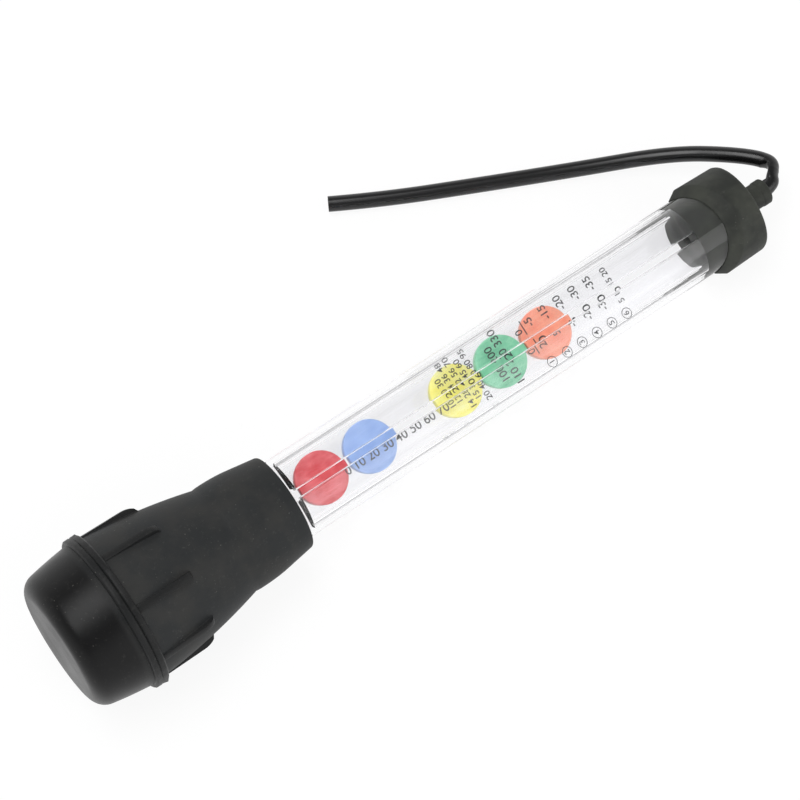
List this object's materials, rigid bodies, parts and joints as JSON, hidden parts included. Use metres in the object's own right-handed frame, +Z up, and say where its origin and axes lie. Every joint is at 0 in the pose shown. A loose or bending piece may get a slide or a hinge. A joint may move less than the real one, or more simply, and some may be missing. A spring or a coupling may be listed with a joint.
{
  "type": "antifreeze tester",
  "caption": "Hand-held coolant antifreeze tester with a ribbed rubber squeeze bulb, a clear barrel of coloured floating discs, a rubber end cap and a kinked black suction hose.",
  "frame": {"origin": "on the table, under the middle of the tester's bounding box without its hose", "axes": "+X along the tester from the bulb to the nozzle, level with the table; +Y toward the side on which the hose lies; +Z up"},
  "size_m": [0.2928, 0.1164, 0.0539],
  "materials": {
    "bulb_rubber": "matte",
    "clear_plastic": "polished",
    "red_plastic": "satin",
    "blue_plastic": "satin",
    "yellow_plastic": "satin",
    "green_plastic": "satin",
    "orange_plastic": "satin",
    "cap_rubber": "matte",
    "hose_plastic": "glossy"
  },
  "bodies": {
    "tester": {"squeeze_bulb": "bulb_rubber", "clear_barrel": "clear_plastic", "end_cap": "cap_rubber", "suction_hose": "hose_plastic"},
    "red_disc": {"disc_red": "red_plastic"},
    "blue_disc": {"disc_blue": "blue_plastic"},
    "yellow_disc": {"disc_yellow": "yellow_plastic"},
    "green_disc": {"disc_green": "green_plastic"},
    "orange_disc": {"disc_orange": "orange_plastic"}
  },
  "joints": [
    {"name": "red_disc_slide", "type": "slide", "parent": "tester", "child": "red_disc", "axis": [0.999, 0, -0.0439], "range_m": [-0.0068, 0.012]},
    {"name": "blue_disc_slide", "type": "slide", "parent": "red_disc", "child": "blue_disc", "axis": [0.999, 0, -0.0439], "range_m": [-0.0011, 0.0115]},
    {"name": "yellow_disc_slide", "type": "slide", "parent": "blue_disc", "child": "yellow_disc", "axis": [0.999, 0, -0.0439], "range_m": [-0.0162, 0.002]},
    {"name": "green_disc_slide", "type": "slide", "parent": "yellow_disc", "child": "green_disc", "axis": [0.999, 0, -0.0439], "range_m": [-0.0003, 0.0115]},
    {"name": "orange_disc_slide", "type": "slide", "parent": "green_disc", "child": "orange_disc", "axis": [0.999, 0, -0.0439], "range_m": [-0.0003, 0.0115]}
  ]
}
